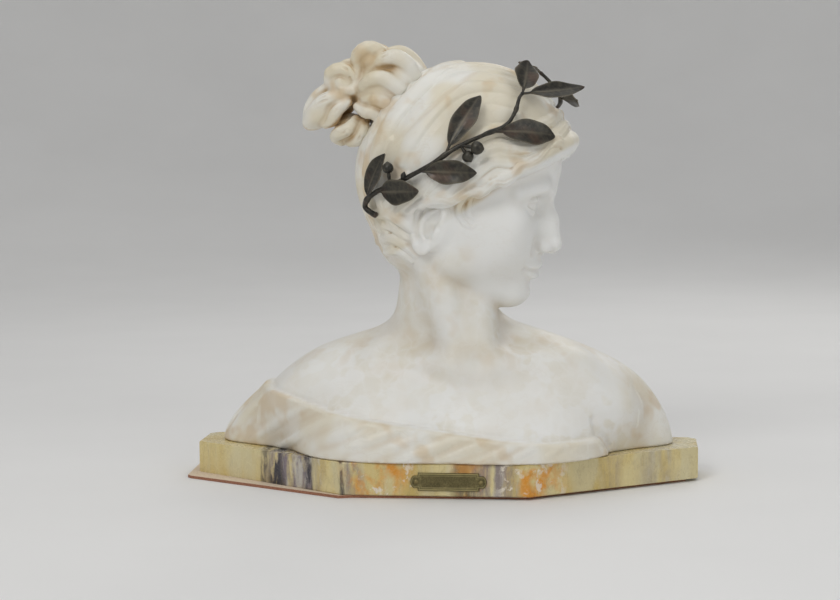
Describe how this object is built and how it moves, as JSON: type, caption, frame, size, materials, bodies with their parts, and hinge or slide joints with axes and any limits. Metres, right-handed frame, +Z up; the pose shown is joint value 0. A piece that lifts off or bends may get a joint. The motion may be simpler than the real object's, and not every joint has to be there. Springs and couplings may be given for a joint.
{
  "type": "marble bust",
  "caption": "Near life-size alabaster bust of a laureate on a canted marble slab, with two pegged bronze laurel branches and a blank nameplate.",
  "frame": {"origin": "middle of the underside of the pad, below the middle of the slab", "axes": "+Z up; -Y is the front of the shoulders and of the slab; the head is turned towards +X"},
  "size_m": [0.459, 0.1825, 0.3885],
  "materials": {
    "bust_alabaster": "hand-carved white alabaster, soft satin polish, cream blotches and white veins",
    "chignon_alabaster": "warmer cream alabaster, satin polish, darker in the hollows",
    "slab_marble": "polished yellow marble with purple-grey veins, orange patches and white calcite",
    "stem_bronze": "dark brown patinated bronze",
    "leaf_bronze": "dark olive-brown patinated bronze, reddish where rubbed",
    "berry_bronze": "dark patinated bronze",
    "plate_brass": "olive-brown oxidised brass, blank face",
    "pin_brass": "worn oxidised brass",
    "pad_board": "cream leather board with reddish-brown cut edge",
    "fixing_steel": "plain mild steel",
    "plug_plaster": "set plaster",
    "dowel_brass": "plain drawn brass"
  },
  "bodies": {
    "bust": {"base_slab": "slab_marble", "base_pad": "pad_board", "nameplate": "plate_brass", "nameplate_pins": "pin_brass", "tie_rod": "fixing_steel", "tie_washer": "fixing_steel", "tie_nut": "fixing_steel", "anchor_plug": "plug_plaster", "bust_block": "bust_alabaster", "chignon": "chignon_alabaster", "chignon_dowel": "dowel_brass"},
    "laurel_right": {"stem_right": "stem_bronze", "pegs_right": "stem_bronze", "leaf_r1": "leaf_bronze", "leaf_r2": "leaf_bronze", "leaf_r3": "leaf_bronze", "leaf_r4": "leaf_bronze", "leaf_r5": "leaf_bronze", "leaf_r6": "leaf_bronze", "leaf_r7": "leaf_bronze", "berries_r1": "berry_bronze", "berries_r2": "berry_bronze"},
    "laurel_left": {"stem_left": "stem_bronze", "pegs_left": "stem_bronze", "leaf_l1": "leaf_bronze", "leaf_l2": "leaf_bronze", "leaf_l3": "leaf_bronze", "leaf_l4": "leaf_bronze", "leaf_l5": "leaf_bronze", "leaf_l6": "leaf_bronze", "leaf_l7": "leaf_bronze", "berries_l1": "berry_bronze", "berries_l2": "berry_bronze"}
  },
  "joints": [
    {"name": "laurel_right_pull", "type": "slide", "parent": "bust", "child": "laurel_right", "axis": [0, -1, 0], "range_m": [0, 0.08]},
    {"name": "laurel_left_pull", "type": "slide", "parent": "bust", "child": "laurel_left", "axis": [0, 1, 0], "range_m": [0, 0.08]}
  ]
}
